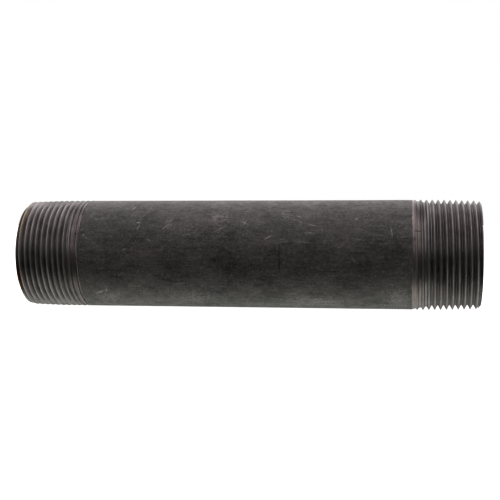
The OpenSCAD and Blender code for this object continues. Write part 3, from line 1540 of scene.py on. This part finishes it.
@dataclass
class WeldBead:
    """Seam weld that stands a little proud along the inside of the pipe."""

    sizes: PipeSizes
    steps: int = 520
    across: int = 10
    width: float = 2.6 * MM
    height: float = 0.15 * MM
    sunk: float = 0.02 * MM
    rippling: float = 0.14
    swaying: float = 0.10
    breathing: float = 0.10
    crease_degrees: float = 60.0
    piece: Optional[bpy.types.Object] = field(default=None, init=False)

    def build(self) -> None:
        """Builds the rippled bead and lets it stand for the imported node."""
        low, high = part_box("weld_bead")
        middle = (low + high) / 2
        centre = math.atan2(middle.z, middle.y)
        points = []
        for i in range(self.steps + 1):
            points += self.section(low.x + (high.x - low.x) * i / self.steps, centre)
        faces = skin(self.steps + 1, self.across + 3, closed=False)
        self.piece = make_piece("weld_bead_metal", np.array(points), faces,
                                [WeldMetal().make()])
        face_outward(self.piece)
        soften(self.piece, self.crease_degrees)
        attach(self.piece, BODY)
        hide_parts("weld_bead")

    def section(self, x: float, centre: float) -> List[Tuple[float, float, float]]:
        """Gives the bead's outline at one place along the pipe.

        Args:
            x: the place.
            centre: angle of the bead's middle round the pipe, in radians.

        Returns:
            The points over the crown, then the two on the sunken back.
        """
        shiver = wobble(x / MM * 0.2, 0, 0)
        ripple = 1 - self.rippling * (1 - math.sin(x / MM * 2.2 + 1.5 * shiver))
        sway = self.swaying * wobble(x / MM * 0.05, 4.0, 0.0)
        spread = 1 - self.breathing * (1 - ripple)
        bore = self.sizes.bore_radius
        half_angle = math.asin(self.width / 2 / bore)
        crown = [2 * k / self.across - 1 for k in range(self.across + 1)]
        outline = [(t, bore - self.height * ripple * math.cos(math.pi / 2 * t)) for t in crown]
        outline += [(1, bore + self.sunk), (-1, bore + self.sunk)]
        points = []
        for t, radius in outline:
            angle = centre + half_angle * (t * spread + sway)
            points.append((x, radius * math.cos(angle), radius * math.sin(angle)))
        return points


# ---------------------------------------------------------------------- studio


@dataclass(frozen=True)
class Glow:
    """One soft bright band of the tent, as angles round the pipe from the front.

    It comes up between the first two angles and fades between the last two.
    """

    rises: float
    full: float
    fades: float
    gone: float
    strength: float
    colour: Colour


@dataclass
class Studio:
    """Light table, soft tent and the camera."""

    ground: float
    floor_size: float = 6.0
    floor_sides: int = 96
    glows: Tuple[Glow, ...] = (
        Glow(2, 23, 160, 179, 0.63, (1.0, 0.935, 0.95)),
        Glow(25, 60, 156, 178, 0.28, (1.0, 0.94, 0.955)),
        Glow(70, 100, 148, 177, 0.60, (1.0, 0.95, 0.96)),
        Glow(115, 132, 142, 165, 0.25, (1.0, 0.96, 0.96)),
        Glow(-50, -84, -122, -174, 1.16, (0.985, 1.0, 0.925)),
    )
    front: Colour = (0.005, 0.0065, 0.0070)
    backdrop: Colour = (1.0, 1.0, 1.0)
    camera_side: float = 0.05985
    camera_distance: float = 0.3989
    camera_elevation: float = 1.94
    aim: Tuple[float, float, float] = (0.00025, 0.0, 0.00153)
    lens: float = 73.75
    sensor: float = 36.0
    nearest: float = 0.01
    farthest: float = 20.0

    def build(self) -> None:
        """Builds the floor, the tent and the camera."""
        self.lay_floor()
        self.surround()
        self.place_camera()
        bpy.context.scene.view_settings.view_transform = "Standard"

    def lay_floor(self) -> None:
        """Lays a round pale floor under the pipe."""
        count = self.floor_sides
        angles = [2 * math.pi * i / count for i in range(count)]
        points = np.array([(self.floor_size * math.cos(a), self.floor_size * math.sin(a),
                            self.ground) for a in angles])
        floor = make_piece("floor", points, [tuple(range(count))], [PaleFloor().make()])
        floor.visible_diffuse = False
        floor.visible_glossy = False
        floor.visible_shadow = False

    def surround(self) -> None:
        """Surrounds the set with a tent that is bright above and below, and dark in front."""
        world = bpy.data.worlds.new("tent")
        bpy.context.scene.world = world
        world.use_nodes = True
        sheet = NodeSheet(world.node_tree)
        _, y, z = sheet.split(sheet.add("ShaderNodeTexCoord").outputs["Generated"])
        angle = sheet.turn(y, z)
        total = self.glow(sheet, angle, self.glows[0])
        for glow in self.glows[1:]:
            total = sheet.blend(1.0, total, self.glow(sheet, angle, glow), "ADD")
        total = sheet.blend(1.0, total, self.front, "ADD")
        seen = sheet.add("ShaderNodeLightPath").outputs["Is Camera Ray"]
        background = sheet.add("ShaderNodeBackground")
        sheet.feed(background.inputs["Color"], sheet.blend(seen, total, self.backdrop))
        output = sheet.add("ShaderNodeOutputWorld")
        sheet.feed(output.inputs["Surface"], background.outputs[0])

    def glow(self, sheet: NodeSheet, angle: Socket, glow: Glow) -> Socket:
        """Adds one bright band to the tent.

        Args:
            sheet: the tent's nodes.
            angle: the direction's angle round the pipe.
            glow: the band.

        Returns:
            The band's colour.
        """
        ramps = []
        for start, stop, low, high in ((glow.rises, glow.full, 0.0, 1.0),
                                       (glow.fades, glow.gone, 1.0, 0.0)):
            if start > stop:
                start, stop, low, high = stop, start, high, low
            ramps.append(sheet.band(angle, math.radians(start), math.radians(stop), low, high))
        strength = sheet.math("MULTIPLY", *ramps)
        tint = tuple(part * glow.strength for part in glow.colour)
        return sheet.blend(1.0, strength, tint, "MULTIPLY")

    def place_camera(self) -> None:
        """Places the camera to the right of the middle, a little above the pipe."""
        lens = bpy.data.cameras.new("camera")
        lens.lens = self.lens
        lens.sensor_width = self.sensor
        lens.clip_start = self.nearest
        lens.clip_end = self.farthest
        camera = bpy.data.objects.new("camera", lens)
        rise = math.radians(self.camera_elevation)
        camera.location = (self.camera_side, -self.camera_distance * math.cos(rise),
                           self.camera_distance * math.sin(rise))
        camera.rotation_mode = "QUATERNION"
        look = Vector(self.aim) - camera.location
        camera.rotation_quaternion = look.to_track_quat("-Z", "Y")
        bpy.context.scene.collection.objects.link(camera)
        bpy.context.scene.camera = camera


# ------------------------------------------------------------------------ main


def main() -> None:
    logging.basicConfig(level=logging.INFO, format="%(message)s")
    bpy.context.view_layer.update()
    sizes = PipeSizes.from_frame(frame["record"])
    form = ThreadForm(sizes)
    assemblies = [
        PipeBarrel(sizes),
        ThreadedEnd(End.LEFT, 221.0, form),
        ThreadedEnd(End.RIGHT, 246.0, form, burr_radius=20.3 * MM),
        ShoulderLip(End.LEFT, sizes, inset=0.55 * MM, depth=0.22 * MM),
        ShoulderLip(End.RIGHT, sizes),
        WeldBead(sizes),
    ]
    for assembly in assemblies:
        assembly.build()
        LOG.info("%s: %d faces", assembly.piece.name, len(assembly.piece.data.polygons))
    Studio(ground=-sizes.pipe_radius).build()


if __name__ == "__main__":
    main()
